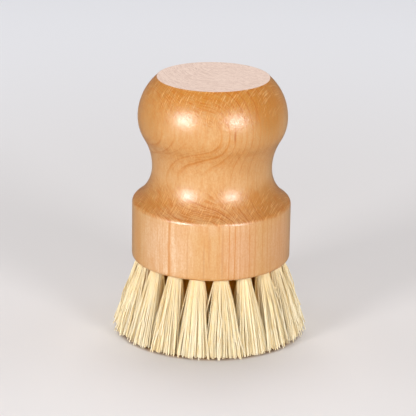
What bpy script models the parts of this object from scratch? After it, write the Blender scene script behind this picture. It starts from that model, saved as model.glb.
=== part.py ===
"""A palm dish brush: a turned wooden handle set with 37 tufts of plant fibre.

Frame: metres, +Z up, origin on the surface that the bristle tips stand on, under the
handle's axis. Each tuft is a bundle of fibre folded over a flat wire anchor and driven
into its own blind, slanted hole, so the outer tufts lean outwards.
"""

import math

import bmesh
import bpy
from mathutils import Matrix, Vector

MM = 0.001

# Handle, turned from one block: radii, and the rise of each station above the last one
BASE_RADIUS = 27.5 * MM
BASE_RISE = 20.5 * MM
NECK_RADIUS = 20.7 * MM
NECK_RISE = 11.8 * MM
KNOB_RADIUS = 25.75 * MM
KNOB_RISE = 18.0 * MM
CROWN_RADIUS = 19.2 * MM
CROWN_RISE = 14.0 * MM
UNDERSIDE_FILLET = 1.2 * MM
SHOULDER_FILLET = 2.0 * MM
CROWN_CHAMFER = 0.3 * MM
NECK_ARC_SHARE = 0.60

# Bristles: their free length below the handle and the layout of their holes
BRISTLE_LENGTH = 26.5 * MM
RIM_LAND = 2.1 * MM
HOLE_RADIUS = 2.4 * MM
HOLE_DEPTH = 11.0 * MM
TUFT_PITCH = 8.0 * MM
OUTER_LEAN = math.radians(13.2)
RING_NAMES = ("centre", "inner", "middle", "outer")
RING_PHASES = tuple(math.radians(angle) for angle in (0.0, 4.2, 4.2, -0.8))

# A tuft: its packed root in the hole and its fan of strands
ROOT_SHOW = 0.15 * MM
CORE_RADIUS_SHARE = 0.42
TIP_GAP = 0.8 * MM
TIP_DEPTH_SHARE = 0.66
STRAND_TIP_SHARE = 1.35

# Anchor: flat wire across the hole, both ends biting into the wood
ANCHOR_THICKNESS = 0.4 * MM
ANCHOR_WIDTH = 2.0 * MM
ANCHOR_BITE = 0.5 * MM
ANCHOR_NOSE = 0.3 * MM
FOLD_THICKNESS = 1.0 * MM

# Clearance between touching pieces, and how far a cutter runs out of the wood
FIT_GAP = 0.3 * MM
CUTTER_OVERRUN = 3.0 * MM

# Facets
TURN_SEGMENTS = 48
FILLET_STEPS = 3
FLARE_STEPS = 5
NECK_STEPS = 5
KNOB_STEPS = 4
CROWN_STEPS = 6
BUNDLE_SIDES = 12
CORE_SIDES = 4
SHARP_ANGLE = math.radians(40)

# Places worked out from the sizes above
UNDERSIDE_Z = BRISTLE_LENGTH
SHOULDER_Z = UNDERSIDE_Z + BASE_RISE
NECK_Z = SHOULDER_Z + NECK_RISE
KNOB_Z = NECK_Z + KNOB_RISE
CROWN_Z = KNOB_Z + CROWN_RISE
OUTER_RING_RADIUS = BASE_RADIUS - RIM_LAND - HOLE_RADIUS
OUTER_RING = len(RING_NAMES) - 1
BUNDLE_RADIUS = HOLE_RADIUS - FIT_GAP
BUNDLE_TOP = HOLE_DEPTH - FIT_GAP
ANCHOR_LENGTH = 2 * (HOLE_RADIUS + ANCHOR_BITE)
ANCHOR_TOP = BUNDLE_TOP - FOLD_THICKNESS


def clear_scene():
    """Remove every object that the file opened with."""
    for old in list(bpy.data.objects):
        bpy.data.objects.remove(old, do_unlink=True)


def finish(name, colour, roughness, metallic=0.0):
    """Return a Principled material of one colour, given as linear RGB."""
    material = bpy.data.materials.new(name)
    material.use_nodes = True
    shader = material.node_tree.nodes["Principled BSDF"]
    shader.inputs["Base Color"].default_value = (*colour, 1.0)
    shader.inputs["Roughness"].default_value = roughness
    shader.inputs["Metallic"].default_value = metallic
    return material


def place(name, mesh, material=None, parent=None):
    """Link an object for the mesh, under its parent."""
    piece = bpy.data.objects.new(name, mesh)
    if material:
        mesh.materials.clear()
        mesh.materials.append(material)
    piece.parent = parent
    bpy.context.scene.collection.objects.link(piece)
    return piece


def mesh_from(bm, name):
    """Write a bmesh to a new mesh and free it."""
    mesh = bpy.data.meshes.new(name)
    bm.to_mesh(mesh)
    bm.free()
    return mesh


def arc_radius(width, rise):
    """Radius of an arc that leaves its end square to the width and gains width over rise."""
    return (width ** 2 + rise ** 2) / (2 * width)


def arc(centre, radius, start, end, steps):
    """Points on an arc about a centre in the (radius, height) plane, both ends included."""
    turns = (start + (end - start) * step / steps for step in range(steps + 1))
    return [(centre[0] + radius * math.cos(turn), centre[1] + radius * math.sin(turn))
            for turn in turns]


def handle_outline():
    """The handle's turned outline as (radius, height) points, from the crown down."""
    crown = arc_radius(KNOB_RADIUS - CROWN_RADIUS, CROWN_RISE)
    crown_end = math.asin((CROWN_RISE - CROWN_CHAMFER) / crown)
    points = [(CROWN_RADIUS - CROWN_CHAMFER, CROWN_Z)]
    points += arc((KNOB_RADIUS - crown, KNOB_Z), crown, crown_end, 0, CROWN_STEPS)

    # The knob's underside and the neck are two arcs that meet on the line of their centres
    both = arc_radius(KNOB_RADIUS - NECK_RADIUS, KNOB_RISE)
    neck = NECK_ARC_SHARE * both
    knob = both - neck
    swing = math.asin(KNOB_RISE / both)
    points += arc((KNOB_RADIUS - knob, KNOB_Z), knob, 0, -swing, KNOB_STEPS)[1:]
    points += arc((NECK_RADIUS + neck, NECK_Z), neck, math.pi - swing, math.pi, NECK_STEPS)[1:]

    # The flare sweeps out from the neck and rolls over a fillet into the base's wall
    flare = arc_radius(BASE_RADIUS - NECK_RADIUS, NECK_RISE)
    flare_centre = (NECK_RADIUS + flare, NECK_Z)
    inset = flare_centre[0] - (BASE_RADIUS - SHOULDER_FILLET)
    roll = math.acos(inset / (flare + SHOULDER_FILLET))
    fillet_centre = (BASE_RADIUS - SHOULDER_FILLET,
                     NECK_Z - (flare + SHOULDER_FILLET) * math.sin(roll))
    points += arc(flare_centre, flare, math.pi, math.pi + roll, FLARE_STEPS)[1:]
    points += arc(fillet_centre, SHOULDER_FILLET, roll, 0, FILLET_STEPS)[1:]

    underside_centre = (BASE_RADIUS - UNDERSIDE_FILLET, UNDERSIDE_Z + UNDERSIDE_FILLET)
    points += arc(underside_centre, UNDERSIDE_FILLET, 0, -math.pi / 2, FILLET_STEPS)
    return points


def turned_mesh(name, outline):
    """Spin an outline of (radius, height) points about Z and close both flat ends."""
    bm = bmesh.new()
    verts = [bm.verts.new((radius, 0, height)) for radius, height in outline]
    edges = [bm.edges.new(pair) for pair in zip(verts, verts[1:])]
    bmesh.ops.spin(bm, geom=verts + edges, cent=(0, 0, 0), axis=(0, 0, 1),
                   angle=2 * math.pi, steps=TURN_SEGMENTS, use_merge=True)
    rims = [edge for edge in bm.edges if edge.is_boundary]
    bmesh.ops.holes_fill(bm, edges=rims, sides=0)
    bmesh.ops.recalc_face_normals(bm, faces=bm.faces)
    return mesh_from(bm, name)


def circle(radius, sides, phase, height):
    """Corners of a level polygon about the local Z axis."""
    turns = (phase + 2 * math.pi * side / sides for side in range(sides))
    return [Vector((radius * math.cos(turn), radius * math.sin(turn), height)) for turn in turns]


def add_prism(bm, corners, rise, matrix):
    """Add a closed prism: level corners in order, raised along local Z, then placed."""
    low = [bm.verts.new(matrix @ corner) for corner in corners]
    high = [bm.verts.new(matrix @ (corner + Vector((0, 0, rise)))) for corner in corners]
    bm.faces.new(reversed(low))
    bm.faces.new(high)
    for side in range(len(low)):
        after = (side + 1) % len(low)
        bm.faces.new((low[side], low[after], high[after], high[side]))


def rectangle(length, width, height):
    """Corners of a level rectangle about the local Z axis, length along X."""
    return [Vector((x * length / 2, y * width / 2, height))
            for x, y in ((-1, -1), (1, -1), (1, 1), (-1, 1))]


def ring_radius(ring):
    """Distance of a ring's hole mouths from the handle's axis."""
    return OUTER_RING_RADIUS * ring / OUTER_RING


def ring_lean(ring):
    """Slant of a ring's holes, growing evenly from the upright centre hole."""
    return OUTER_LEAN * ring / OUTER_RING


def ring_count(ring):
    """Number of holes in a ring: as many as fit at the tufts' pitch along it."""
    return max(1, int(2 * math.pi * ring_radius(ring) / TUFT_PITCH))


def tip_radius(ring):
    """Distance of a ring's tufts from the handle's axis at their tips."""
    return ring_radius(ring) + BRISTLE_LENGTH * math.tan(ring_lean(ring))


def hole_places():
    """Each hole as (ring, number, matrix); its frame has X along the ring and Z up the hole."""
    for ring in range(OUTER_RING + 1):
        count = ring_count(ring)
        for number in range(count):
            turn = RING_PHASES[ring] + 2 * math.pi * number / count - math.pi / 2
            mouth = Matrix.Translation((0, ring_radius(ring), UNDERSIDE_Z))
            lean = Matrix.Rotation(ring_lean(ring), 4, "X")
            yield ring, number, Matrix.Rotation(turn, 4, "Z") @ mouth @ lean


def add_cutter(name, corners, rise, target):
    """Cut one prism per hole out of the target, all in one cutter."""
    bm = bmesh.new()
    for _, _, matrix in hole_places():
        add_prism(bm, corners, rise, matrix)
    cutter = place(name, mesh_from(bm, name))
    cutter.hide_render = True
    cutter.display_type = "WIRE"
    cut = target.modifiers.new(name, "BOOLEAN")
    cut.object = cutter


def make_handle():
    """The turned handle with its slanted blind holes and the kerfs that the anchors bite."""
    wood = finish("varnished beech", (0.73, 0.44, 0.18), 0.35)
    mesh = turned_mesh("handle", handle_outline())
    mesh.shade_smooth()
    mesh.set_sharp_from_angle(angle=SHARP_ANGLE)
    handle = place("handle", mesh, wood)

    phase = math.pi / BUNDLE_SIDES
    hole = circle(HOLE_RADIUS, BUNDLE_SIDES, phase, -CUTTER_OVERRUN)
    add_cutter("hole_cutter", hole, CUTTER_OVERRUN + HOLE_DEPTH, handle)
    kerf = rectangle(ANCHOR_LENGTH + 2 * FIT_GAP, ANCHOR_THICKNESS + 2 * FIT_GAP,
                     -CUTTER_OVERRUN)
    add_cutter("kerf_cutter", kerf, CUTTER_OVERRUN + ANCHOR_TOP + FIT_GAP, handle)


def bundle_cells():
    """How a bundle's end is shared out: a square core strand, then three a side around it.

    Corners 0 to 3 are the core's, the rest the rim's. Each cell has 3 or 4 corners and is
    one strand's root.
    """
    per_side = BUNDLE_SIDES // CORE_SIDES
    cells = [tuple(range(CORE_SIDES))]
    for side in range(CORE_SIDES):
        core = (side, (side + 1) % CORE_SIDES)
        rim = [CORE_SIDES + (side * per_side + step) % BUNDLE_SIDES for step in range(per_side + 1)]
        cells.append((core[0], rim[0], rim[1]))
        cells.append((core[0], rim[1], rim[2], core[1]))
        cells.append((core[1], rim[2], rim[3]))
    return cells


def tip_spread(ring):
    """How far strands part from their tuft's middle at the tips, along and across the ring.

    The outermost strands stop half a tip gap short of the middle between two tufts.
    """
    if ring == 0:
        room = tip_radius(1)
        share = 1
    else:
        room = 2 * tip_radius(ring) * math.sin(math.pi / ring_count(ring))
        share = TIP_DEPTH_SHARE
    reach = (room - TIP_GAP) / 2
    core = BUNDLE_RADIUS * CORE_RADIUS_SHARE * math.cos(math.pi / CORE_SIDES)
    rim = BUNDLE_RADIUS * math.cos(math.pi / BUNDLE_SIDES)
    middle = (core + rim) / 2
    half = (rim - middle) * STRAND_TIP_SHARE
    return (reach - half) / middle, (reach * share - half) / middle


def tuft_mesh(ring):
    """A packed root that splits into strands, each cut off level where the brush stands."""
    phase = math.pi / CORE_SIDES
    lean = ring_lean(ring)
    root_end = -(ROOT_SHOW + BUNDLE_RADIUS * math.tan(lean))
    roots = circle(BUNDLE_RADIUS * CORE_RADIUS_SHARE, CORE_SIDES, phase, root_end)
    roots += circle(BUNDLE_RADIUS, BUNDLE_SIDES, phase, root_end)
    along, across = tip_spread(ring)

    bm = bmesh.new()
    ends = [bm.verts.new(root) for root in roots]
    rim = ends[CORE_SIDES:]
    top = [bm.verts.new((root.x, root.y, BUNDLE_TOP)) for root in roots[CORE_SIDES:]]
    bm.faces.new(top)
    for side in range(BUNDLE_SIDES):
        after = (side + 1) % BUNDLE_SIDES
        bm.faces.new((top[side], rim[side], rim[after], top[after]))

    for cell in bundle_cells():
        middle = sum((roots[corner] for corner in cell), Vector()) / len(cell)
        tips = []
        for corner in cell:
            tip = Vector((middle.x * along, middle.y * across, 0))
            tip += (roots[corner] - middle) * STRAND_TIP_SHARE
            tip.z = -(UNDERSIDE_Z + tip.y * math.sin(lean)) / math.cos(lean)
            tips.append(bm.verts.new(tip))
        bm.faces.new(reversed(tips))
        for side in range(len(cell)):
            after = (side + 1) % len(cell)
            bm.faces.new((ends[cell[side]], tips[side], tips[after], ends[cell[after]]))
    return mesh_from(bm, "tuft_" + RING_NAMES[ring])


def anchor_mesh():
    """A flat wire, its two leading corners clipped, in the frame of its hole."""
    half = ANCHOR_LENGTH / 2
    low = ANCHOR_TOP - ANCHOR_WIDTH
    outline = [(-half, low), (half, low), (half, ANCHOR_TOP - ANCHOR_NOSE),
               (half - ANCHOR_NOSE, ANCHOR_TOP), (-half + ANCHOR_NOSE, ANCHOR_TOP),
               (-half, ANCHOR_TOP - ANCHOR_NOSE)]
    bm = bmesh.new()
    corners = [Vector((x, -z, -ANCHOR_THICKNESS / 2)) for x, z in reversed(outline)]
    add_prism(bm, corners, ANCHOR_THICKNESS, Matrix.Rotation(-math.pi / 2, 4, "X"))
    return mesh_from(bm, "anchor")


def slot_mesh():
    """The slot that the anchor takes up across a bundle, with its clearance all round."""
    bm = bmesh.new()
    corners = rectangle(ANCHOR_LENGTH + 2 * FIT_GAP, ANCHOR_THICKNESS + 2 * FIT_GAP,
                        ANCHOR_TOP - ANCHOR_WIDTH - FIT_GAP)
    add_prism(bm, corners, ANCHOR_WIDTH + 2 * FIT_GAP, Matrix.Identity(4))
    return mesh_from(bm, "slot")


def combined(base, tool, operation):
    """The mesh of base with the tool's mesh cut out of it or joined to it."""
    pair = [place("pair", mesh) for mesh in (base, tool)]
    modifier = pair[0].modifiers.new("combine", "BOOLEAN")
    modifier.operation = operation
    modifier.object = pair[1]
    bpy.context.view_layer.update()
    whole = pair[0].evaluated_get(bpy.context.evaluated_depsgraph_get())
    result = bpy.data.meshes.new_from_object(whole)
    for helper in pair:
        bpy.data.objects.remove(helper, do_unlink=True)
    return result


def make_tufts():
    """Every tuft in its hole; the outer ring's anchors are pieces, the others are joined in."""
    fibre = finish("plant fibre", (0.93, 0.78, 0.50), 0.75)
    wire = finish("tinned steel wire", (0.62, 0.60, 0.57), 0.35, 1.0)
    anchor = anchor_mesh()
    tufts = [combined(tuft_mesh(ring), anchor, "UNION") for ring in range(OUTER_RING)]
    tufts.append(combined(tuft_mesh(OUTER_RING), slot_mesh(), "DIFFERENCE"))
    for ring, number, matrix in hole_places():
        name = RING_NAMES[ring]
        if ring:
            name += f"_{number + 1:02d}"
        hole = bpy.data.objects.new("hole_" + name, None)
        bpy.context.scene.collection.objects.link(hole)
        hole.matrix_world = matrix
        place("tuft_" + name, tufts[ring], fibre, hole)
        if ring == OUTER_RING:
            place("anchor_" + name, anchor, wire, hole)


def main():
    clear_scene()
    make_handle()
    make_tufts()


main()
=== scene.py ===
"""Looks of a palm dish brush: turned and varnished beech set with folded plant fibre.

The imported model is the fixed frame. Lengths are in metres, +Z is up, and the brush stands on
its bristle tips with -Y towards the viewer. The file is laid out as an add-on with one
operator for each kind of piece and one for the stage.
"""

import math

import bpy
import numpy as np
from bpy.props import FloatProperty, FloatVectorProperty, IntProperty, PointerProperty
from mathutils import Matrix, Vector


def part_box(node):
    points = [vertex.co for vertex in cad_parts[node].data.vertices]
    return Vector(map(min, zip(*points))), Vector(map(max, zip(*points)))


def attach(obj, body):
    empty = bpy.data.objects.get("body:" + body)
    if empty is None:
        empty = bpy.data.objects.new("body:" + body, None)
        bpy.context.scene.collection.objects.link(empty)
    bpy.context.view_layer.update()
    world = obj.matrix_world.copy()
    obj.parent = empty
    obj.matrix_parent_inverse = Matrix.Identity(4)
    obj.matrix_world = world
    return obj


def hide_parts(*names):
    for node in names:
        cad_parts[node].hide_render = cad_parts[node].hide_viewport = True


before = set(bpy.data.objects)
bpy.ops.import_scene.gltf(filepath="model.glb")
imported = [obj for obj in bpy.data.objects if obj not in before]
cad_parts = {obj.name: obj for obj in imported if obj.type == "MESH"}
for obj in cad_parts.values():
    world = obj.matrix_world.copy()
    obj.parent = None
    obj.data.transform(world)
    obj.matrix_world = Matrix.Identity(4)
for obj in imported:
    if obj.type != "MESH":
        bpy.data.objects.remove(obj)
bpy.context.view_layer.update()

bl_info = {
    "name": "Dish brush looks",
    "version": (1, 0, 0),
    "blender": (4, 5, 0),
    "location": "View3D > Sidebar > Dish brush",
    "description": "Turned beech handle, plant fibre tufts, wire anchors and a plain stage",
    "category": "Object",
}

MM = 0.001
HANDLE_LOW, HANDLE_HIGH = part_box("handle")
UNDERSIDE_Z = HANDLE_LOW.z
CROWN_Z = HANDLE_HIGH.z


def linear(code):
    """An sRGB hex colour as linear RGBA: each channel by the sRGB transfer curve, opaque."""
    channels = [int(code[place:place + 2], 16) / 255 for place in (1, 3, 5)]
    curve = (c / 12.92 if c <= 0.04045 else ((c + 0.055) / 1.055) ** 2.4 for c in channels)
    return (*curve, 1.0)


def length(name, description, default):
    """A length property in scene units."""
    return FloatProperty(name=name, description=description, default=default,
                         min=0.0, precision=5, unit="LENGTH", subtype="DISTANCE")


def colour(name, description, code):
    """A colour property whose default is an sRGB hex value."""
    return FloatVectorProperty(name=name, description=description, default=linear(code),
                               size=4, min=0.0, max=1.0, subtype="COLOR")


class DishBrushHandle(bpy.types.PropertyGroup):
    """Sizes of the turned handle, measured as a turner would, and the colours of its wood."""

    base_radius: length("Base radius", "Radius of the block that holds the tufts", HANDLE_HIGH.x)
    base_rise: length("Base rise", "Height of the block's straight wall", 20.5 * MM)
    neck_radius: length("Neck radius", "Radius at the waist", 20.7 * MM)
    neck_rise: length("Neck rise", "Height of the waist above the block", 11.8 * MM)
    knob_radius: length("Knob radius", "Radius at the widest part of the knob", 25.75 * MM)
    knob_rise: length("Knob rise", "Height of the knob's widest part above the waist", 18.0 * MM)
    crown_radius: length("Crown radius", "Radius of the flat crown", 19.2 * MM)
    crown_rise: length("Crown rise", "Height of the crown above the widest part", 14.0 * MM)
    underside_fillet: length("Underside fillet", "Rounding of the block's lower edge", 1.2 * MM)
    shoulder_fillet: length("Shoulder fillet", "Rounding of the block's upper edge", 2.0 * MM)
    crown_round: length("Crown round", "Rounding of the crown's edge", 0.3 * MM)
    sapwood: colour("Sapwood", "Varnished beech between its growth lines", "#DBB27D")
    # This pale colour is also painted light: a pale patch on the front of the flare, where the knob
    # shades it from the lamp overhead.
    pale_wood_and_painted_light: colour("Pale wood", "Paler patches of the block", "#EFD3AF")
    pink_wood: colour("Pink wood", "Redder patches of the block", "#E3B99C")
    streaks: colour("Streaks", "Varnish that collects in fine streaks and growth lines", "#CB7B00")
    latewood: colour("Latewood", "Dark flecks, pores and lines that are cut across", "#AC560C")
    end_grain: colour("End grain", "Varnished beech where the turning cuts across it", "#B57D33")
    ray: colour("Ray", "Pale flecks of the rays, which run out from the pith", "#FFD79B")
    bare_wood: colour("Bare wood", "Unvarnished end grain of the crown", "#F3DACB")
    bare_lines: colour("Bare lines", "Fine lines and pores of the bare crown", "#A87B68")


class DishBrushTufts(bpy.types.PropertyGroup):
    """Layout of the tufts and the fibres in them."""

    hole_radius: length("Hole radius", "Radius of the hole that a tuft fills", 2.4 * MM)
    hole_depth: length("Hole depth", "Depth of the blind holes", 11.0 * MM)
    rim_land: length("Rim land", "Wood left between the outer holes and the wall", 2.1 * MM)
    tuft_pitch: length("Tuft pitch", "Least spacing of the tufts along a ring", 8.0 * MM)
    outer_lean: FloatProperty(name="Outer lean", description="Slant of the outermost holes",
                              default=math.radians(13.2), subtype="ANGLE", unit="ROTATION")
    fibre_width: length("Fibre width", "Thickness of one fibre, coarse enough to show", 0.38 * MM)
    strands: IntProperty(name="Strands", default=240, min=1,
                         description="Folded fibres in a tuft, each with two ends")
    wander: length("Wander", "How far a fibre waves from its line at the tip", 0.3 * MM)
    ragged: length("Ragged", "How unevenly the tips are cut", 1.0 * MM)
    worn: length("Worn", "How far the outermost tips stand off the ground", 0.5 * MM)
    pale_fibre: colour("Pale fibre", "The lighter fibres", "#FAF1D7")
    golden_fibre: colour("Golden fibre", "The darker fibres", "#F4DA9D")
    # Painted light and shade: the inner and root fibres are the same fibre, golden or orange where it
    # lies in shade lit through other fibres.
    inner_fibre: colour("Inner fibre", "Fibre inside a tuft or behind the outer ring", "#DEBE72")
    root_fibre: colour("Root fibre", "Fibre next to the wood, away from the light", "#F2A92C")
    wire: colour("Wire", "Tinned steel of the anchors", "#DEDCD8")
    wire_lines: colour("Wire lines", "Drawing lines of the anchors' wire", "#BFBDB8")


class DishBrushStage(bpy.types.PropertyGroup):
    """Camera, lamps, floor and the light of the room."""

    camera_distance: length("Camera distance", "From the camera to the middle of the brush", 0.75)
    camera_rise: FloatProperty(name="Camera rise", description="Camera's height as an angle",
                               default=math.radians(18.29), subtype="ANGLE", unit="ROTATION")
    focal_length: FloatProperty(name="Focal length", default=187.5, unit="CAMERA",
                                description="Lens on a sensor 36 mm wide")
    lamp_distance: length("Lamp distance", "From a soft box to the middle of the brush", 0.8)
    lamp_width: length("Lamp width", "Side of a square soft box", 0.22)
    # Painted contact shadow: the floor under the tips, dark and warm as if lit only through the fibres.
    floor_contact_shade: colour("Floor under", "The floor under the tips, in light from between the "
                        "fibres", "#A87838")
    floor_near: colour("Floor near", "The floor round the brush", "#DEDAD9")
    floor_far: colour("Floor far", "The floor away from the brush", "#F0F0F4")
    room: colour("Room", "Light from all round", "#F6F7FB")


def mesh_of(name, points, faces, smooth=True):
    """A mesh from an array of points and a list of face arrays, each of 3 or 4 corners a row."""
    corners = np.concatenate([rows.ravel() for rows in faces])
    sides = np.concatenate([np.full(len(rows), rows.shape[1]) for rows in faces])
    mesh = bpy.data.meshes.new(name)
    mesh.vertices.add(len(points))
    mesh.vertices.foreach_set("co", points.astype(np.float32).ravel())
    mesh.loops.add(len(corners))
    mesh.loops.foreach_set("vertex_index", corners.astype(np.int32))
    mesh.polygons.add(len(sides))
    mesh.polygons.foreach_set("loop_start", (np.cumsum(sides) - sides).astype(np.int32))
    mesh.update(calc_edges=True)
    if not smooth:
        mesh.shade_flat()
    return mesh


def mark_points(mesh, name, values):
    """Give every point of the mesh one number that its material reads."""
    values = values.astype(np.float32).ravel()
    mesh.attributes.new(name, "FLOAT", "POINT").data.foreach_set("value", values)


def show(name, mesh, *materials):
    """Link an object for the mesh, at the origin, with its materials in order."""
    piece = bpy.data.objects.new(name, mesh)
    mesh.materials.clear()
    for material in materials:
        mesh.materials.append(material)
    bpy.context.scene.collection.objects.link(piece)
    return piece


def material_tree(name):
    """A new node material, its tree and its shader."""
    material = bpy.data.materials.new(name)
    material.use_nodes = True
    return material, material.node_tree, material.node_tree.nodes["Principled BSDF"]


def add(tree, kind, inputs=None, **settings):
    """Add one node. Inputs go by socket name or number and hold a value or another's output.

    A MapRange turns the range from input 1 to input 2 into the one from input 3 to input 4,
    which is 0 to 1 if they are left out.
    """
    node = tree.nodes.new("ShaderNode" + kind)
    for key, value in settings.items():
        setattr(node, key, value)
    for key, value in (inputs or {}).items():
        if isinstance(value, bpy.types.NodeSocket):
            tree.links.new(value, node.inputs[key])
        else:
            node.inputs[key].default_value = value
    return node


def place_in_mm(tree):
    """The place on the object, in mm."""
    place = add(tree, "TexCoord").outputs["Object"]
    return add(tree, "VectorMath", {0: place, "Scale": 1 / MM}, operation="SCALE").outputs[0]


def speckle(tree, mm, size, low, high, detail=2.0):
    """Noise with cells of a size in mm along each axis: 0 up to low, rising to 1 at high."""
    scale = tuple(1 / side for side in size)
    stretched = add(tree, "VectorMath", {0: mm, 1: scale}, operation="MULTIPLY").outputs[0]
    noise = add(tree, "TexNoise", {"Vector": stretched, "Scale": 1.0, "Detail": detail})
    return add(tree, "MapRange", {0: noise.outputs[0], 1: low, 2: high}).outputs[0]


def stained(tree, body, tint, pattern, share):
    """A body colour with a tint over it: the share of tint where the pattern is 1."""
    amount = add(tree, "Math", {0: pattern, 1: share}, operation="MULTIPLY").outputs[0]
    return add(tree, "Mix", {0: amount, 6: body, 7: tint}, data_type="RGBA").outputs[2]


# The handle

TURN_SEGMENTS = 256
ARC_STEPS = 40
FILLET_STEPS = 8
EDGE_STEPS = 4
WALL_STEPS = 24
DISC_STEPS = 12
HOLE_SIDES = 24
KERF_BITE = 0.8 * MM
KERF_WIDTH = 1.0 * MM
KERF_DEPTH = 10.0 * MM
DISC_LIP = 0.25 * MM
CUTTER_OVERRUN = 3.0 * MM
NECK_ARC_SHARE = 0.60
SHARP_ANGLE = math.radians(35)
CROWN_SLACK = 0.01 * MM


def arc_radius(width, rise):
    """Radius of an arc that leaves its end square to the width and gains width over rise."""
    return (width ** 2 + rise ** 2) / (2 * width)


def arc(centre, radius, start, end, steps):
    """Points of an arc in the (radius, height) plane: the centre plus the turned radius."""
    turn = np.linspace(start, end, steps + 1)
    return np.column_stack((centre[0] + radius * np.cos(turn), centre[1] + radius * np.sin(turn)))


def line(start, end, steps):
    """Evenly spaced points from start to end, both left out."""
    share = np.linspace(0, 1, steps + 1)[1:-1, None]
    return np.asarray(start) * (1 - share) + np.asarray(end) * share


def handle_outline(size):
    """The turned outline from the crown's edge down to the underside: arcs that meet tangent.

    The crown's round runs into the knob's upper arc. The knob's lower arc and the neck's
    share one tangent on the line of their centres. The flare rolls over the shoulder fillet
    into the straight wall.
    """
    shoulder = UNDERSIDE_Z + size.base_rise
    neck_z = shoulder + size.neck_rise
    knob_z = neck_z + size.knob_rise
    crown = arc_radius(size.knob_radius - size.crown_radius, size.crown_rise)
    crown_end = math.asin((size.crown_rise - size.crown_round) / crown)
    crown_arc = arc((size.knob_radius - crown, knob_z), crown, crown_end, 0, ARC_STEPS)
    edge = (crown_arc[0, 0] - size.crown_round, CROWN_Z - size.crown_round)
    edge_arc = arc(edge, size.crown_round, math.pi / 2, crown_end, EDGE_STEPS)

    both = arc_radius(size.knob_radius - size.neck_radius, size.knob_rise)
    neck = NECK_ARC_SHARE * both
    knob = both - neck
    swing = math.asin(size.knob_rise / both)
    knob_arc = arc((size.knob_radius - knob, knob_z), knob, 0, -swing, ARC_STEPS)
    neck_arc = arc((size.neck_radius + neck, neck_z), neck, math.pi - swing, math.pi, ARC_STEPS)

    flare = arc_radius(size.base_radius - size.neck_radius, size.neck_rise)
    flare_x = size.neck_radius + flare
    fillet_x = size.base_radius - size.shoulder_fillet
    roll = math.acos((flare_x - fillet_x) / (flare + size.shoulder_fillet))
    fillet_z = neck_z - (flare + size.shoulder_fillet) * math.sin(roll)
    flare_arc = arc((flare_x, neck_z), flare, math.pi, math.pi + roll, ARC_STEPS)
    fillet_arc = arc((fillet_x, fillet_z), size.shoulder_fillet, roll, 0, FILLET_STEPS)

    lower = (size.base_radius - size.underside_fillet, UNDERSIDE_Z + size.underside_fillet)
    lower_arc = arc(lower, size.underside_fillet, 0, -math.pi / 2, FILLET_STEPS)
    wall = line(fillet_arc[-1], lower_arc[0], WALL_STEPS)
    return np.vstack((edge_arc[:-1], crown_arc[:-1], knob_arc[:-1], neck_arc[:-1],
                      flare_arc[:-1], fillet_arc, wall, lower_arc))


def turned(name, outline):
    """A closed turned shape: each outline point swept round Z, with a pole at each end.

    The point of row i and segment j is (r_i cos a_j, r_i sin a_j, z_i), a_j = 2 pi j / count.
    """
    turn = np.arange(TURN_SEGMENTS) * 2 * math.pi / TURN_SEGMENTS
    radius, height = outline[:, :1], outline[:, 1:]
    grid = np.stack((radius * np.cos(turn), radius * np.sin(turn),
                     np.broadcast_to(height, (len(outline), TURN_SEGMENTS))), axis=-1)
    poles = np.array([(0, 0, outline[0, 1]), (0, 0, outline[-1, 1])])
    index = np.arange(len(outline) * TURN_SEGMENTS).reshape(len(outline), TURN_SEGMENTS)
    after = np.roll(index, -1, axis=1)
    quads = np.stack((index[:-1], index[1:], after[1:], after[:-1]), axis=-1).reshape(-1, 4)
    top = np.full(TURN_SEGMENTS, index.size)
    top_fan = np.stack((top, index[0], after[0]), axis=-1)
    low_fan = np.stack((top + 1, after[-1], index[-1]), axis=-1)
    return mesh_of(name, np.vstack((grid.reshape(-1, 3), poles)), [quads, top_fan, low_fan])


def prisms(name, corners, rise, places):
    """Closed prisms: level corners and the same corners raised, moved to each place."""
    count = len(corners)
    raised = corners + np.array((0, 0, rise))
    unit = np.vstack((corners, raised))
    points = np.einsum("nij,kj->nki", places[:, :3, :3], unit) + places[:, None, :3, 3]
    low = np.arange(count)
    after = np.roll(low, -1)
    walls = np.column_stack((low, after, after + count, low + count))
    start = (np.arange(len(places)) * 2 * count)[:, None, None]
    faces = [(walls[None] + start).reshape(-1, 4),
             (low[::-1][None, None] + start).reshape(-1, count),
             (low[None, None] + count + start).reshape(-1, count)]
    return mesh_of(name, points.reshape(-1, 3), faces, smooth=False)


def cut(base, tool):
    """The base's mesh with the tool's mesh taken out of it; both helpers are removed."""
    modifier = base.modifiers.new("cut", "BOOLEAN")
    modifier.object = tool
    modifier.operation = "DIFFERENCE"
    whole = base.evaluated_get(bpy.context.evaluated_depsgraph_get())
    result = bpy.data.meshes.new_from_object(whole)
    bpy.data.objects.remove(base)
    bpy.data.objects.remove(tool)
    return result


def circle(radius, sides, height):
    """Corners of a level circle about Z at a height."""
    turn = (np.arange(sides) + 0.5) * 2 * math.pi / sides
    return np.column_stack((radius * np.cos(turn), radius * np.sin(turn), np.full(sides, height)))


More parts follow.
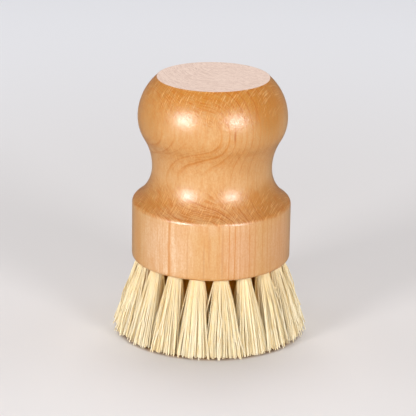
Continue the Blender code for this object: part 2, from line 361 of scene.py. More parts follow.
def handle_mesh(size, tufts):
    """The turned block with its flat crown, cut by the slanted holes and the anchors' kerfs."""
    outline = handle_outline(size)
    edge, foot = outline[0, 0], outline[-1, 0]
    crown_radii = np.append(np.linspace(0, 1, DISC_STEPS + 1)[1:-1] * edge, edge - DISC_LIP)
    crown = np.column_stack((crown_radii, np.full(len(crown_radii), CROWN_Z)))
    under = np.array([(foot - DISC_LIP, UNDERSIDE_Z)])
    mesh = turned("handle", np.vstack((crown, outline, under)))
    places = np.array([np.array(matrix) for _, _, matrix in hole_places(tufts)])
    hole = circle(tufts.hole_radius, HOLE_SIDES, -CUTTER_OVERRUN)
    holes = prisms("holes", hole, CUTTER_OVERRUN + tufts.hole_depth, places)
    bored = cut(show("block", mesh), show("holes", holes))
    half = np.array((tufts.hole_radius + KERF_BITE, KERF_WIDTH / 2))
    kerf = np.array([(x * half[0], y * half[1], -CUTTER_OVERRUN)
                     for x, y in ((-1, -1), (1, -1), (1, 1), (-1, 1))])
    kerfs = prisms("kerfs", kerf, CUTTER_OVERRUN + KERF_DEPTH, places)
    return cut(show("block", bored), show("kerfs", kerfs))


# Beech: growth rings about a pith that lies outside the block, so their lines bow. Places
# and lengths are in mm and turns in radians. A ring has its end's distance from the pith
# and the strength of its line.

PITH = (35.96, 28.77)
PITH_REACH = 55.0
RING_WAVE = 2.24
RING_WAVE_LENGTH = 38.5
RING_WAVE_TURN = -0.22
RING_WAVE_PHASE = -0.52
RING_DRIFT = 1.1
RINGS = ((36.0, 0.4), (40.0, 0.4), (43.6, 0.6), (46.6, 0.4), (49.3, 0.8), (51.2, 0.5), (53.6, 0.9),
         (56.8, 0.8), (59.1, 1.0), (60.8, 0.5), (62.4, 0.6), (63.9, 1.0), (65.4, 1.0), (67.2, 0.3),
         (68.4, 0.9), (70.3, 0.9), (71.4, 0.4), (72.4, 0.1), (73.5, 0.1), (74.8, 0.1))

# A growth line, by what is left to the end of its ring: where its thin dark core and the
# soft shade before it start and where they are full, and the shade's share of the line
CORE_START = 0.30
CORE_FULL = 0.08
SHADE_START = 1.0
SHADE_FULL = 0.1
SHADE_SHARE = 0.12

# The block's wall shows more of the growth than the wood above it: the height where the wall
# ends, how softly, and how strongly the thin sheets and the lines of growth show above it
WALL_TOP = 46.5
WALL_BLUR = 1.0
SHEETS_ABOVE = 0.6
LINES_ABOVE = 0.8

# Which tilt of the surface starts to count as cut across the trunk and which counts in full,
# the share of a downward tilt that counts, and what the patches in the varnish add to it
CUT_START = 0.2
CUT_FULL = 0.8
DOWN_SHARE = 0.55
PATCH_SHARE = 0.3

# Patches and marks in the varnished wood, and one patch of painted light: tint, degrees round from -Y,
# height, half its size along X, Y and Z, and strength. A mark is full in the inner share of its size.
MARK_CORE_SHARE = 0.4
MARKS = (("pale_wood_and_painted_light", -36.0, 36.0, 13.0, 12.0, 16.0, 0.9),
         ("pink_wood", 21.0, 36.0, 8.0, 9.0, 16.0, 0.5),
         ("pink_wood", 62.0, 36.0, 13.0, 12.0, 14.0, 0.4),
         ("end_grain", 50.0, 84.0, 12.0, 13.0, 14.0, 0.8),
         ("end_grain", -62.0, 79.0, 13.0, 13.0, 10.0, 0.5),
         ("end_grain", 0.0, 73.0, 30.0, 30.0, 12.0, 0.2),
         ("end_grain", 52.0, 51.0, 11.0, 12.0, 6.0, 0.5),
         # Painted light: this pale patch lightens the front of the flare, where the knob shades it from
         # the lamp overhead.
         ("pale_wood_and_painted_light", 2.0, 48.0, 22.0, 20.0, 6.0, 0.35),
         ("latewood", -16.5, 34.0, 0.4, 3.0, 15.0, 0.25), ("latewood", -4.7, 33.0, 0.4, 3.0, 12.0, 0.3),
         ("latewood", -1.1, 38.0, 0.35, 3.0, 10.0, 0.25), ("latewood", 8.3, 35.0, 0.45, 3.0, 16.0, 0.3),
         ("latewood", 37.0, 84.0, 0.6, 4.0, 7.0, 0.5),
         ("latewood", 17.0, 76.8, 0.36, 3.0, 3.6, 0.9), ("latewood", 34.5, 69.0, 4.2, 5.0, 0.6, 0.25),
         ("latewood", 43.5, 53.0, 1.7, 3.0, 2.6, 0.25), ("latewood", -20.8, 55.5, 0.35, 0.5, 0.35, 0.6))

# Where the growth lines fade: degrees, height and half sizes as above, and by how much
FADES = ((-22.0, 84.0, 19.0, 14.0, 12.0, 1.0), (0.0, 58.0, 24.0, 20.0, 9.0, 0.8),
         (-60.0, 51.0, 20.0, 16.0, 7.0, 0.8), (-66.0, 86.0, 17.0, 15.0, 14.0, 1.0),
         (-9.0, 36.0, 9.5, 7.0, 18.0, 1.0))


def beech_grain(tree):
    """Coordinates of the wood in mm: (along the rings, across the rings, along the trunk).

    Across is the distance from the pith plus a long sine wave and a little noise. Along is
    the angle about the pith times a usual distance from it. With them come the coordinate
    across the rings by itself and the place in mm.
    """
    mm = place_in_mm(tree)
    away = add(tree, "VectorMath", {0: mm, 1: (*PITH, 0)}, operation="SUBTRACT").outputs[0]
    flat = add(tree, "VectorMath", {0: away, 1: (1, 1, 0)}, operation="MULTIPLY").outputs[0]
    radius = add(tree, "VectorMath", {0: flat}, operation="LENGTH").outputs["Value"]
    turn = 2 * math.pi / RING_WAVE_LENGTH
    across = (turn * math.cos(RING_WAVE_TURN), turn * math.sin(RING_WAVE_TURN), 0)
    wave = add(tree, "VectorMath", {0: mm, 1: across}, operation="DOT_PRODUCT").outputs["Value"]
    wave = add(tree, "Math", {0: wave, 1: RING_WAVE_PHASE}, operation="ADD").outputs[0]
    wave = add(tree, "Math", {0: wave}, operation="SINE").outputs[0]
    growth = add(tree, "Math", {0: wave, 1: RING_WAVE, 2: radius},
                 operation="MULTIPLY_ADD").outputs[0]
    drift = speckle(tree, mm, (8, 8, 60), 0, 1, 3.0)
    drift = add(tree, "Math", {0: drift, 1: 0.5}, operation="SUBTRACT").outputs[0]
    growth = add(tree, "Math", {0: drift, 1: RING_DRIFT, 2: growth},
                 operation="MULTIPLY_ADD").outputs[0]
    split = add(tree, "SeparateXYZ", {0: away}).outputs
    angle = add(tree, "Math", {0: split[1], 1: split[0]}, operation="ARCTAN2").outputs[0]
    along = add(tree, "Math", {0: angle, 1: PITH_REACH}, operation="MULTIPLY").outputs[0]
    return add(tree, "CombineXYZ", {0: along, 1: growth, 2: split[2]}).outputs[0], growth, mm


def growth_lines(tree, growth):
    """Dark lines at the ends of the growth rings, by the mm left to the end of the ring.

    A stepped ramp turns the distance from the pith into the radius of the ring's end in its
    red and the strength of the ring's line in its green.
    """
    first, last = RINGS[0][0], RINGS[-1][0]
    reach = add(tree, "MapRange", {0: growth, 1: first, 2: last}).outputs[0]
    ramp = add(tree, "ValToRGB", {0: reach})
    ramp.color_ramp.interpolation = "CONSTANT"
    stops = ramp.color_ramp.elements
    for number, (radius, _) in enumerate(RINGS):
        share = (radius - first) / (last - first)
        if 0 < number < len(RINGS) - 1:
            stop = stops.new(share)
        else:
            stop = stops[0 if number == 0 else -1]
        end, strength = RINGS[number + 1] if radius < last else (last, 0.0)
        stop.color = ((end - first) / (last - first), strength, 0, 1)
    end, strength = add(tree, "SeparateColor", {0: ramp.outputs[0]}).outputs[:2]
    end = add(tree, "Math", {0: end, 1: last - first, 2: first},
              operation="MULTIPLY_ADD").outputs[0]
    left = add(tree, "Math", {0: end, 1: growth}, operation="SUBTRACT").outputs[0]
    core = add(tree, "MapRange", {0: left, 1: CORE_START, 2: CORE_FULL}).outputs[0]
    shade = add(tree, "MapRange", {0: left, 1: SHADE_START, 2: SHADE_FULL, 4: SHADE_SHARE},
                interpolation_type="SMOOTHSTEP").outputs[0]
    dark = add(tree, "Math", {0: core, 1: 1 - SHADE_SHARE, 2: shade},
               operation="MULTIPLY_ADD").outputs[0]
    return add(tree, "Math", {0: dark, 1: strength}, operation="MULTIPLY").outputs[0]


def mark(tree, mm, outline, angle, height, size):
    """A soft blotch on the surface: 1 in an ellipsoid's middle, falling to 0 at its skin.

    Its centre lies on the turned outline, which is in mm and runs from the bottom up.
    """
    turn = math.radians(angle)
    radius = np.interp(height, outline[:, 1], outline[:, 0])
    centre = (radius * math.sin(turn), -radius * math.cos(turn), height)
    away = add(tree, "VectorMath", {0: mm, 1: centre}, operation="SUBTRACT").outputs[0]
    away = add(tree, "VectorMath", {0: away, 1: size}, operation="DIVIDE").outputs[0]
    reach = add(tree, "VectorMath", {0: away}, operation="LENGTH").outputs["Value"]
    return add(tree, "MapRange", {0: reach, 1: 1.0, 2: MARK_CORE_SHARE}).outputs[0]


def cut_across(tree, mm):
    """How far the surface cuts across the trunk, 0 to 1, with a patchy edge.

    It is the normal's Z, or a share of its size where the surface faces down, plus noise in
    patches of a few mm, which stands for varnish that soaks in unevenly.
    """
    normal = add(tree, "TexCoord").outputs["Normal"]
    tilt = add(tree, "SeparateXYZ", {0: normal}).outputs[2]
    down = add(tree, "Math", {0: tilt, 1: -DOWN_SHARE}, operation="MULTIPLY").outputs[0]
    tilt = add(tree, "Math", {0: tilt, 1: down}, operation="MAXIMUM").outputs[0]
    patch = speckle(tree, mm, (2, 2, 7), 0.2, 0.8, 3.0)
    tilt = add(tree, "Math", {0: patch, 1: PATCH_SHARE, 2: tilt},
               operation="MULTIPLY_ADD").outputs[0]
    return add(tree, "MapRange", {0: tilt, 1: CUT_START, 2: CUT_FULL}).outputs[0]


def faded_lines(tree, growth, shown, mm, outline):
    """The growth lines times how far they show, faded at the places listed for that."""
    lines = add(tree, "Math", {0: growth_lines(tree, growth), 1: shown},
                operation="MULTIPLY").outputs[0]
    for angle, height, *half_sizes, strength in FADES:
        fade = mark(tree, mm, outline, angle, height, half_sizes)
        fade = add(tree, "MapRange", {0: fade, 3: 1.0, 4: 1 - strength}).outputs[0]
        lines = add(tree, "Math", {0: lines, 1: fade}, operation="MULTIPLY").outputs[0]
    return lines


def varnish(tree, shader, mm, pores):
    """A clear satin film: finely uneven, and sunk a little over the pores.

    Varnish has an IOR of about 1.5. The higher one here makes the highlights of the soft
    boxes as strong as on the real brush.
    """
    film = speckle(tree, mm, (0.5, 0.5, 0.5), 0.3, 0.7)
    relief = add(tree, "Math", {0: film, 1: pores}, operation="SUBTRACT").outputs[0]
    bump = add(tree, "Bump", {"Height": relief, "Strength": 0.4, "Distance": 0.06 * MM})
    tree.links.new(bump.outputs[0], shader.inputs["Normal"])
    tree.links.new(bump.outputs[0], shader.inputs["Coat Normal"])
    shader.inputs["Coat Weight"].default_value = 1.0
    shader.inputs["Coat Roughness"].default_value = 0.3
    shader.inputs["Coat IOR"].default_value = 1.76


def varnished_beech(size):
    """Beech turned on a lathe under clear satin varnish.

    Growth lines, fine fibre streaks, ray flecks and pores give warm honey stripes; end
    grain drinks varnish and goes darker, with a hatch of rays and ring lines; the film
    keeps soft, speckled highlights. A pattern's cells are in mm: along the rings, across
    them and along the trunk, or along X, Y and Z where it reads the plain place. The flecks,
    dashes, grit and pores of real beech are too fine to show, so they are drawn coarser.
    """
    material, tree, shader = material_tree("varnished beech")
    grain, growth, mm = beech_grain(tree)
    across = cut_across(tree, mm)
    outline = handle_outline(size)[::-1] / MM
    height = add(tree, "SeparateXYZ", {0: mm}).outputs[2]
    wall_ends = {0: height, 1: WALL_TOP + WALL_BLUR, 2: WALL_TOP - WALL_BLUR}
    sheets_shown, lines_shown = (add(tree, "MapRange", {**wall_ends, 3: above}).outputs[0]
                                 for above in (SHEETS_ABOVE, LINES_ABOVE))

    broad = speckle(tree, grain, (16, 5, 60), 0.3, 0.7)
    streak = speckle(tree, grain, (0.9, 0.7, 11), 0.3, 0.7, 3.0)
    dashes = speckle(tree, grain, (0.3, 0.3, 4.0), 0.48, 0.68)
    grit = speckle(tree, mm, (0.5, 0.5, 0.7), 0.35, 0.65)
    pores = speckle(tree, grain, (0.4, 0.4, 0.7), 0.55, 0.70)
    sheets = speckle(tree, grain, (12, 0.25, 60), 0.46, 0.66)
    sheets = add(tree, "Math", {0: sheets, 1: sheets_shown}, operation="MULTIPLY").outputs[0]
    lines = faded_lines(tree, growth, lines_shown, mm, outline)
    rays = speckle(tree, grain, (0.24, 7, 2.5), 0.54, 0.70)
    hatch = speckle(tree, grain, (5, 0.2, 2), 0.50, 0.64)
    mottle = speckle(tree, mm, (2.2, 2.2, 2.2), 0.42, 0.70, 4.0)
    rays, hatch, mottle, cut_lines, cut_pores = (
        add(tree, "Math", {0: pattern, 1: across}, operation="MULTIPLY").outputs[0]
        for pattern in (rays, hatch, mottle, lines, pores))

    body = stained(tree, size.sapwood, size.end_grain, across, 0.85)
    # The marks include a pale patch of painted light on the front of the flare.
    for tint, angle, height, *half_sizes, strength in MARKS:
        blotch = mark(tree, mm, outline, angle, height, half_sizes)
        body = stained(tree, body, getattr(size, tint), blotch, strength)
    for pattern, share in ((broad, 0.13), (streak, 0.29), (sheets, 0.22), (lines, 0.75),
                           (dashes, 0.29), (grit, 0.32), (mottle, 0.35), (hatch, 1.0)):
        body = stained(tree, body, size.streaks, pattern, share)
    for pattern, share in ((cut_lines, 1.0), (cut_pores, 0.25), (hatch, 0.5)):
        body = stained(tree, body, size.latewood, pattern, share)
    body = stained(tree, body, size.ray, rays, 0.44)
    tree.links.new(body, shader.inputs["Base Color"])
    shader.inputs["Roughness"].default_value = 0.5
    shader.inputs["Specular IOR Level"].default_value = 0.3
    varnish(tree, shader, mm, pores)
    return material


def bare_end_grain(size):
    """Beech cut square to the trunk and sanded, with no varnish: pale, matt and finely lined."""
    material, tree, shader = material_tree("bare beech end grain")
    grain, growth, _ = beech_grain(tree)
    fine = speckle(tree, grain, (2.5, 0.3, 60), 0.42, 0.65, 3.0)
    dots = speckle(tree, grain, (0.5, 0.35, 20), 0.62, 0.70)
    body = stained(tree, size.bare_wood, size.bare_lines, fine, 0.32)
    body = stained(tree, body, size.bare_lines, growth_lines(tree, growth), 0.18)
    body = stained(tree, body, size.bare_lines, dots, 0.5)
    tree.links.new(body, shader.inputs["Base Color"])
    bump = add(tree, "Bump", {"Height": fine, "Strength": 0.3, "Distance": 0.05 * MM})
    tree.links.new(bump.outputs[0], shader.inputs["Normal"])
    shader.inputs["Roughness"].default_value = 0.75
    return material


class DISHBRUSH_OT_make_handle(bpy.types.Operator):
    """Turn the beech handle, bore its holes and varnish its sides."""

    bl_idname = "dish_brush.make_handle"
    bl_label = "Make handle"

    def execute(self, context):
        size = context.scene.dish_brush_handle
        mesh = handle_mesh(size, context.scene.dish_brush_tufts)
        handle = show("beech_handle", mesh, varnished_beech(size), bare_end_grain(size))
        faces = len(mesh.polygons)
        middle = np.zeros(faces * 3)
        mesh.polygons.foreach_get("center", middle)
        slots = (middle.reshape(-1, 3)[:, 2] > CROWN_Z - CROWN_SLACK).astype(np.int32)
        mesh.polygons.foreach_set("material_index", slots)
        mesh.shade_smooth()
        mesh.set_sharp_from_angle(angle=SHARP_ANGLE)
        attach(handle, "root")
        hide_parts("handle")
        return {"FINISHED"}


# The tufts

RING_NAMES = ("centre", "inner", "middle", "outer")
RING_TURNS = tuple(math.radians(turn) for turn in (0.0, 4.2, 4.2, -0.8))
OUTER_RING = len(RING_NAMES) - 1
TIP_GAP = 0.4 * MM
TIP_DEPTH_SHARE = 0.75
TIP_SQUARENESS = 0.6
GOLDEN_ANGLE = math.pi * (3 - math.sqrt(5))

# How fibres leave their even places: scatter, draw into locks, splay and stray reach are
# shares of the tuft's half width
ROOT_SCATTER = 0.05
TIP_SCATTER = 0.06
LOCKS = 16
LOCK_DRAW = 0.22
SPLAYED_SHARE = 0.22
SPLAY = 0.5
STRAY_SHARE = 0.03
STRAY_LEAST = 1.3
STRAY_REACH = 1.9
STRAY_WANDER = 3.0
STRAY_RISE = 8.0 * MM

# A fibre's line: how early it fans out, its waves along the free length and how their phase
# follows their direction, how few tips stand high in the cut, how steeply the wear grows
# towards the outermost tips and how far past them
FAN_POWER = 0.87
LEAST_WAVES = 0.4
MOST_WAVES = 1.5
PHASE_TURNS = 3
RAGGED_POWER = 1.5
WORN_POWER = 4
WORN_LIMIT = 1.2
FOLD_TOP = 0.3 * MM
FOLD_DROP = 1.0 * MM
FREE_STEPS = 5
HELD_STEPS = 1
FOLD_STEPS = 2
FIBRE_SIDES = 4

# Painted light and shade in the fibres' colour: warm light from other fibres and shade inside the
# tufts. The root's is full on the first 0.28 of the free length and gone at 0.68 of it. Each ring has
# its share, from the centre to the outer ring. Then come the root's gold, the side that faces the axis
# and how deep a tuft's pale skin is.
ROOT_FADE_SHARE = 0.4
ROOT_FADE_END = 1.7
RING_SHARES = (1.0, 1.0, 1.0, 0.03)
ROOT_GOLD = 0.5
INWARD_SHARE = 0.3
SKIN_SHARE = 0.5


def ring_radius(tufts, ring):
    """Distance of a ring's hole mouths from the axis."""
    outer = HANDLE_HIGH.x - tufts.rim_land - tufts.hole_radius
    return outer * ring / OUTER_RING


def ring_count(tufts, ring):
    """Number of tufts in a ring: as many as fit at the pitch."""
    return max(1, int(2 * math.pi * ring_radius(tufts, ring) / tufts.tuft_pitch))


def hole_places(tufts):
    """Each hole as (ring, number, matrix); its frame has X along the ring and Z up the hole."""
    for ring in range(OUTER_RING + 1):
        count = ring_count(tufts, ring)
        for number in range(count):
            turn = RING_TURNS[ring] + 2 * math.pi * number / count - math.pi / 2
            mouth = Matrix.Translation((0, ring_radius(tufts, ring), UNDERSIDE_Z))
            lean = Matrix.Rotation(tufts.outer_lean * ring / OUTER_RING, 4, "X")
            yield ring, number, Matrix.Rotation(turn, 4, "Z") @ mouth @ lean


def tip_reach(tufts, ring):
    """Half the width of a tuft's tips, along and across its ring."""
    lean = tufts.outer_lean * max(ring, 1) / OUTER_RING
    radius = ring_radius(tufts, max(ring, 1)) + UNDERSIDE_Z * math.tan(lean)
    if ring == 0:
        return ((radius - TIP_GAP) / 2,) * 2
    room = 2 * radius * math.sin(math.pi / ring_count(tufts, ring))
    half = (room - TIP_GAP) / 2
    return half, half * TIP_DEPTH_SHARE


def half_disc(count, rng):
    """Points spread over the half disc y > 0: radius sqrt(share), turned by the golden angle."""
    order = np.arange(count)
    radius = np.sqrt((order + 0.5) / count)
    turn = (order * GOLDEN_ANGLE) % math.pi
    points = np.column_stack((radius * np.cos(turn), radius * np.sin(turn)))
    return points + rng.normal(0, ROOT_SCATTER, points.shape)


def fibre_ends(tufts, ring, rng):
    """Where the fibres of a tuft leave the hole and where they end, by (half, fibre).

    A root is a place in the unit disc, one half of it for each leg of the fold. A tip is the
    same place drawn towards the middle of its lock, squared off so that the cut ends of
    neighbours meet, splayed and scattered, in metres across the tuft. With them come the
    height of the cut above the floor and whether the fibre is a stray.
    """
    count = tufts.strands
    root = np.stack([half_disc(count, rng) for _ in range(2)])
    root[1, :, 1] *= -1
    root /= np.maximum(1, np.linalg.norm(root, axis=-1, keepdims=True))

    seeds = rng.uniform(-1, 1, (LOCKS, 2))
    nearest = np.argmin(np.linalg.norm(root[:, :, None] - seeds, axis=-1), axis=-1)
    draw = rng.uniform(0, LOCK_DRAW, root.shape[:2] + (1,))
    drawn = root + (seeds[nearest] - root) * draw
    splay = rng.random(root.shape[:2] + (1,)) * SPLAY
    splay = np.where(rng.random(splay.shape) < SPLAYED_SHARE, 1 + splay, 1.0)
    stray = rng.random(splay.shape) < STRAY_SHARE
    stray_rise = STRAY_RISE * rng.random((2, count))
    splay = np.where(stray, rng.uniform(STRAY_LEAST, STRAY_REACH, splay.shape), splay)
    flank = np.abs(root).max(axis=-1) / np.linalg.norm(root, axis=-1)
    square = flank[..., None] ** -TIP_SQUARENESS
    tip = drawn * square * splay + rng.normal(0, TIP_SCATTER, root.shape)
    cut_rise = tufts.ragged * rng.random((2, count)) ** RAGGED_POWER
    rise = np.where(stray[..., 0], stray_rise, cut_rise)
    return root, tip * np.array(tip_reach(tufts, ring)), rise, stray


def tuft_paths(tufts, ring, rng):
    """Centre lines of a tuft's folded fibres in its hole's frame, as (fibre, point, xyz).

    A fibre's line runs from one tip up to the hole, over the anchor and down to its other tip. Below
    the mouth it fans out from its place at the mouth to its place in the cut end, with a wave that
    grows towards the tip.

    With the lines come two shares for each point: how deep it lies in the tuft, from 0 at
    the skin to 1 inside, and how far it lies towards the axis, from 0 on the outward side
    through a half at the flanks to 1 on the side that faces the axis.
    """
    count = tufts.strands
    half = tufts.fibre_width / 2
    packed = tufts.hole_radius - half
    lean = tufts.outer_lean * ring / OUTER_RING
    root, tip, rise, stray = fibre_ends(tufts, ring, rng)

    share = np.linspace(1, 0, FREE_STEPS + 1)[:, None, None, None]
    mouth = root * packed
    flat = mouth + (tip - mouth) * share ** FAN_POWER
    angle = rng.uniform(0, 2 * math.pi, (2, count, 1))
    waves = rng.uniform(LEAST_WAVES, MOST_WAVES, (2, count, 1))
    wave = np.sin(waves * 2 * math.pi * share + angle * PHASE_TURNS) * share
    wander = tufts.wander * np.where(stray, STRAY_WANDER, 1.0)
    flat = flat + wave * wander * np.concatenate((np.cos(angle), np.sin(angle)), axis=-1)
    reach = ring_radius(tufts, ring) + UNDERSIDE_Z * math.tan(lean) + flat[0, ..., 1]
    tip_edge = ring_radius(tufts, OUTER_RING) + UNDERSIDE_Z * math.tan(tufts.outer_lean)
    tip_edge = tip_edge + tip_reach(tufts, OUTER_RING)[1]
    rise = rise + tufts.worn * np.clip(reach / tip_edge, 0, WORN_LIMIT) ** WORN_POWER
    end = -(UNDERSIDE_Z - rise + flat[0, ..., 1] * math.sin(lean)) / math.cos(lean)
    free = np.concatenate((flat, (end * share[..., 0])[..., None]), axis=-1)

    top = tufts.hole_depth - FOLD_TOP
    height = np.linspace(0, top - FOLD_DROP, HELD_STEPS + 1)[1:, None, None, None]
    ones = np.ones((HELD_STEPS, 2, count, 1))
    held = np.concatenate((mouth * ones, height * ones), axis=-1)
    legs = np.concatenate((free, held))

    turn = np.linspace(0, math.pi, FOLD_STEPS + 1)[1:-1, None]
    out, back = legs[-1, 0], legs[-1, 1]
    ease = (1 - np.cos(turn)) / 2
    fold = out[None] + (back - out)[None] * ease[..., None]
    arch = half + (FOLD_DROP - 2 * half) * np.abs(mouth[0, :, 1]) / packed
    fold[..., 2] += np.sin(turn) * arch
    paths = np.concatenate((legs[:, 0], fold, legs[::-1, 1])).transpose(1, 0, 2)

    shares = np.stack((1 - np.linalg.norm(root, axis=-1), SKIN_SHARE / 2 - root[..., 1]))
    first, second = np.clip(shares / SKIN_SHARE, 0, 1).transpose(1, 0, 2)[..., None]
    along = np.ones(len(legs))
    folded = np.ones((2, count, len(fold)))
    depth, inward = np.concatenate((first * along, folded, second * along), axis=-1)
    return paths, depth, inward


def tubes(paths, radius):
    """Thin closed tubes along paths: each point plus radius times a corner of a polygon.

    The polygon lies square to the path, between X made square to the path and their
    cross product. The corners are by (path, point, side), and the faces are arrays of rows.
    """
    count, points, _ = paths.shape
    ahead = np.gradient(paths, axis=1)
    ahead /= np.linalg.norm(ahead, axis=-1, keepdims=True)
    side = np.array((1.0, 0, 0)) - ahead * ahead[..., :1]
    side /= np.linalg.norm(side, axis=-1, keepdims=True)
    other = np.cross(ahead, side)
    turn = np.arange(FIBRE_SIDES) * 2 * math.pi / FIBRE_SIDES
    rings = (paths[:, :, None] + radius * (side[:, :, None] * np.cos(turn)[:, None]
                                           + other[:, :, None] * np.sin(turn)[:, None]))
    index = np.arange(count * points * FIBRE_SIDES).reshape(count, points, FIBRE_SIDES)
    after = np.roll(index, -1, axis=2)
    quads = np.stack((index[:, :-1], after[:, :-1], after[:, 1:], index[:, 1:]), axis=-1)
    return rings, [quads.reshape(-1, 4), index[:, 0, ::-1], index[:, -1]]


def plant_fibre(tufts):
    """Agave leaf fibre, dried and bleached: pale straw, satin, each fibre its own tone.

    Painted light and shade: the colour is golden, as in shade lit by light that has come through other
    fibres, inside a tuft, on the side towards the axis, behind the outer ring and, by half, near the
    wood, and orange near the wood behind the outer ring.
    """
    material, tree, shader = material_tree("dried plant fibre")
    tone = add(tree, "Attribute", attribute_name="tone").outputs["Fac"]
    core = add(tree, "Attribute", attribute_name="core").outputs["Fac"]
    warmth = add(tree, "Attribute", attribute_name="warmth").outputs["Fac"]
    mottle = speckle(tree, place_in_mm(tree), (2 / 3, 2 / 3, 4), 0.3, 0.7)
    tone = add(tree, "Math", {0: tone, 1: mottle}, operation="MULTIPLY").outputs[0]
    body = stained(tree, tufts.pale_fibre, tufts.golden_fibre, tone, 1.0)
    body = stained(tree, body, tufts.inner_fibre, core, 0.75)
    body = stained(tree, body, tufts.root_fibre, warmth, 1.0)
    tree.links.new(body, shader.inputs["Base Color"])
    shader.inputs["Roughness"].default_value = 0.45
    shader.inputs["Specular IOR Level"].default_value = 0.25
    return material


class DISHBRUSH_OT_make_tufts(bpy.types.Operator):
    """Fold the plant fibres of every tuft over its anchor and cut them level."""

    bl_idname = "dish_brush.make_tufts"
    bl_label = "Make tufts"

    def execute(self, context):
        tufts = context.scene.dish_brush_tufts
        fibre = plant_fibre(tufts)
        for ring, number, matrix in hole_places(tufts):
            name = RING_NAMES[ring] + (f"_{number + 1:02d}" if ring else "")
            rng = np.random.default_rng((ring, number))
            paths, depth, inward = tuft_paths(tufts, ring, rng)
            corners, faces = tubes(paths, tufts.fibre_width / 2)
            turn = np.array(matrix)
            points = corners.reshape(-1, 3) @ turn[:3, :3].T + turn[:3, 3]
            points[:, 2] = np.maximum(points[:, 2], 0)
            mesh = mesh_of("fibres_" + name, points, faces, smooth=False)

            tone = rng.random((len(paths), 1))
            # Painted light and shade: warmth and core tint the fibres where they lie in shade lit
            # through other fibres.
            rootward = ROOT_FADE_END + paths[..., 2] / (ROOT_FADE_SHARE * UNDERSIDE_Z)
            rootward = np.clip(rootward, 0, 1)
            warmth = rootward * np.maximum(RING_SHARES[ring], INWARD_SHARE * inward)
            inside = np.maximum(depth, np.maximum(inward, RING_SHARES[ring]))
            core = np.maximum(inside, rootward * ROOT_GOLD)
            for mark_name, shares in (("tone", tone), ("warmth", warmth), ("core", core)):
                shares = np.broadcast_to(shares[..., None], corners.shape[:3])
                mark_points(mesh, mark_name, shares)
            tuft = show("fibres_" + name, mesh, fibre)
            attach(tuft, "root")
            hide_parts("tuft_" + name)
        return {"FINISHED"}


# The anchors

def tinned_wire(tufts):
    """Flat steel wire, drawn and tinned: soft grey metal with drawing lines along it."""
    material, tree, shader = material_tree("tinned steel wire")
    lines = speckle(tree, place_in_mm(tree), (5 / 6, 5 / 6, 1 / 9), 0, 1, 3.0)
    body = stained(tree, tufts.wire_lines, tufts.wire, lines, 1.0)
    rough = add(tree, "MapRange", {0: lines, 3: 0.25, 4: 0.45}).outputs[0]
    bump = add(tree, "Bump", {"Height": lines, "Strength": 0.2, "Distance": 0.02 * MM})
    tree.links.new(body, shader.inputs["Base Color"])
    tree.links.new(rough, shader.inputs["Roughness"])
    tree.links.new(bump.outputs[0], shader.inputs["Normal"])
    shader.inputs["Metallic"].default_value = 1.0
    return material


class DISHBRUSH_OT_finish_anchors(bpy.types.Operator):
    """Give the anchors of the outer ring their tinned wire."""

    bl_idname = "dish_brush.finish_anchors"
    bl_label = "Finish anchors"

    def execute(self, context):
        wire = tinned_wire(context.scene.dish_brush_tufts)
        for name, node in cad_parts.items():
            if name.startswith("anchor_"):
                node.data.materials.clear()
                node.data.materials.append(wire)
        return {"FINISHED"}


# The stage

VIEW_MIDDLE = Vector((0, 0, 50 * MM))
CAMERA_ROLL = math.radians(0.94)
AIM_DOWN = math.radians(0.462)
AIM_LEFT = math.radians(0.096)
LAMP_TURNS = (math.radians(-43), math.radians(37))
LAMP_RISE = math.radians(16)
LAMP_POWERS = (3.9, 3.2)
FILL_RISE = math.radians(20)
FILL_DISTANCE = 1.3
FILL_WIDTH = 0.8
FRONT_POWER = 2.3
SIDE_TURNS = (math.radians(-110), math.radians(110))
SIDE_POWER = 3.4
OVERHEAD_TURN = math.radians(180)
OVERHEAD_RISE = math.radians(68)
OVERHEAD_DISTANCE = 1.2
OVERHEAD_WIDTH = 0.6
OVERHEAD_POWER = 7.0
WORLD_STRENGTH = 0.18
FLOOR_REACH = 4.0
# Where the painted contact shadow under the tips is full and where it ends
CONTACT_SHADE_FULL = 30.5 * MM
CONTACT_SHADE_END = 33.5 * MM
FLOOR_NEAR_END = 80 * MM
FLOOR_FAR_START = 500 * MM


def look_from(turn, rise, distance):
    """A place at a turn from -Y and a rise above level, facing the middle of the brush."""
    back = Vector((math.sin(turn) * math.cos(rise), -math.cos(turn) * math.cos(rise),
                   math.sin(rise)))
    facing = (-back).to_track_quat("-Z", "Y").to_matrix().to_4x4()
    return Matrix.Translation(VIEW_MIDDLE + back * distance) @ facing


def soft_box(name, matrix, width, power, mirrored=True):
    """A square area lamp that faces along its own -Z, and whether varnish mirrors it."""
    lamp = bpy.data.lights.new(name, "AREA")
    lamp.shape = "SQUARE"
    lamp.size = width
    lamp.energy = power
    piece = bpy.data.objects.new(name, lamp)
    piece.matrix_world = matrix
    piece.visible_glossy = mirrored
    bpy.context.scene.collection.objects.link(piece)


def pale_floor(stage):
    """Matt painted board: pale grey round the brush, fading to near white away from it.

    Under the tips it is brown: a painted contact shadow, warm as if lit by light that has come through
    the fibres.
    """
    material, tree, shader = material_tree("matt painted board")
    place = add(tree, "TexCoord").outputs["Object"]
    reach = add(tree, "VectorMath", {0: place}, operation="LENGTH").outputs["Value"]
    fade = add(tree, "MapRange", {0: reach, 1: FLOOR_NEAR_END, 2: FLOOR_FAR_START},
               interpolation_type="SMOOTHSTEP").outputs[0]
    body = stained(tree, stage.floor_near, stage.floor_far, fade, 1.0)
    # Painted contact shadow under the tips
    under = add(tree, "MapRange", {0: reach, 1: CONTACT_SHADE_END, 2: CONTACT_SHADE_FULL}).outputs[0]
    body = stained(tree, body, stage.floor_contact_shade, under, 1.0)
    tree.links.new(body, shader.inputs["Base Color"])
    shader.inputs["Roughness"].default_value = 0.8
    shader.inputs["Specular IOR Level"].default_value = 0.2
    return material


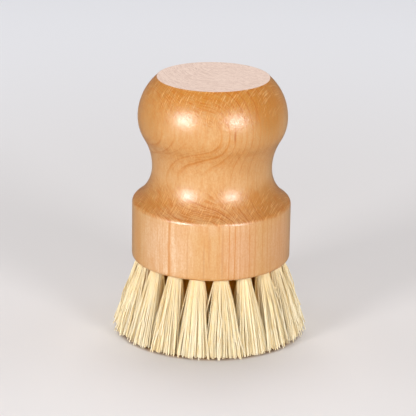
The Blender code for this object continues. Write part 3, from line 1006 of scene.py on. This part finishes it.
def hang_lamps(stage):
    """Two soft boxes in front, which the varnish mirrors, and four fills, which it doesn't."""
    for name, turn, power in zip(("lamp_left", "lamp_right"), LAMP_TURNS, LAMP_POWERS):
        soft_box(name, look_from(turn, LAMP_RISE, stage.lamp_distance), stage.lamp_width, power)
    soft_box("lamp_front", look_from(0, FILL_RISE, FILL_DISTANCE), FILL_WIDTH, FRONT_POWER,
             mirrored=False)
    for name, turn in zip(("lamp_far_left", "lamp_far_right"), SIDE_TURNS):
        soft_box(name, look_from(turn, FILL_RISE, FILL_DISTANCE), FILL_WIDTH, SIDE_POWER,
                 mirrored=False)
    soft_box("lamp_overhead", look_from(OVERHEAD_TURN, OVERHEAD_RISE, OVERHEAD_DISTANCE),
             OVERHEAD_WIDTH, OVERHEAD_POWER, mirrored=False)


def room_light(stage):
    """A world of one pale colour."""
    world = bpy.data.worlds.new("soft grey room")
    world.use_nodes = True
    background = world.node_tree.nodes["Background"]
    background.inputs["Color"].default_value = stage.room
    background.inputs["Strength"].default_value = WORLD_STRENGTH
    return world


def set_camera(stage):
    """A long lens that looks down on the brush, turned by the roll and aim of the view."""
    lens = bpy.data.cameras.new("camera")
    lens.lens = stage.focal_length
    camera = bpy.data.objects.new("camera", lens)
    aim = (Matrix.Rotation(CAMERA_ROLL, 4, "Z") @ Matrix.Rotation(-AIM_DOWN, 4, "X")
           @ Matrix.Rotation(AIM_LEFT, 4, "Y"))
    camera.matrix_world = look_from(0, stage.camera_rise, stage.camera_distance) @ aim
    bpy.context.scene.collection.objects.link(camera)
    return camera


class DISHBRUSH_OT_make_stage(bpy.types.Operator):
    """Lay the floor, hang the lamps and set up the camera."""

    bl_idname = "dish_brush.make_stage"
    bl_label = "Make stage"

    def execute(self, context):
        scene = context.scene
        stage = scene.dish_brush_stage
        corners = FLOOR_REACH * np.array([(-1, -1, 0), (1, -1, 0), (1, 1, 0), (-1, 1, 0)])
        floor = show("floor", mesh_of("floor", corners, [np.array([(0, 1, 2, 3)])], False),
                     pale_floor(stage))
        floor.visible_glossy = False
        hang_lamps(stage)
        scene.world = room_light(stage)
        scene.camera = set_camera(stage)
        scene.view_settings.view_transform = "Standard"
        return {"FINISHED"}


class DISHBRUSH_PT_panel(bpy.types.Panel):
    """Sidebar panel with the brush's sizes, colours and operators."""

    bl_label = "Dish brush"
    bl_idname = "DISHBRUSH_PT_panel"
    bl_space_type = "VIEW_3D"
    bl_region_type = "UI"
    bl_category = "Dish brush"

    def draw(self, context):
        for group in (context.scene.dish_brush_handle, context.scene.dish_brush_tufts,
                      context.scene.dish_brush_stage):
            box = self.layout.box()
            for name in group.__annotations__:
                box.prop(group, name)
        for operator in OPERATORS:
            self.layout.operator(operator.bl_idname)


GROUPS = {"dish_brush_handle": DishBrushHandle, "dish_brush_tufts": DishBrushTufts,
          "dish_brush_stage": DishBrushStage}
OPERATORS = (DISHBRUSH_OT_make_handle, DISHBRUSH_OT_make_tufts, DISHBRUSH_OT_finish_anchors,
             DISHBRUSH_OT_make_stage)


def register():
    for name, group in GROUPS.items():
        bpy.utils.register_class(group)
        setattr(bpy.types.Scene, name, PointerProperty(type=group))
    for cls in (*OPERATORS, DISHBRUSH_PT_panel):
        bpy.utils.register_class(cls)


def unregister():
    for cls in (DISHBRUSH_PT_panel, *reversed(OPERATORS)):
        bpy.utils.unregister_class(cls)
    for name, group in reversed(GROUPS.items()):
        delattr(bpy.types.Scene, name)
        bpy.utils.unregister_class(group)


def main():
    """Make everything in order."""
    register()
    bpy.ops.dish_brush.make_stage()
    bpy.ops.dish_brush.make_handle()
    bpy.ops.dish_brush.make_tufts()
    bpy.ops.dish_brush.finish_anchors()


if __name__ == "__main__":
    main()
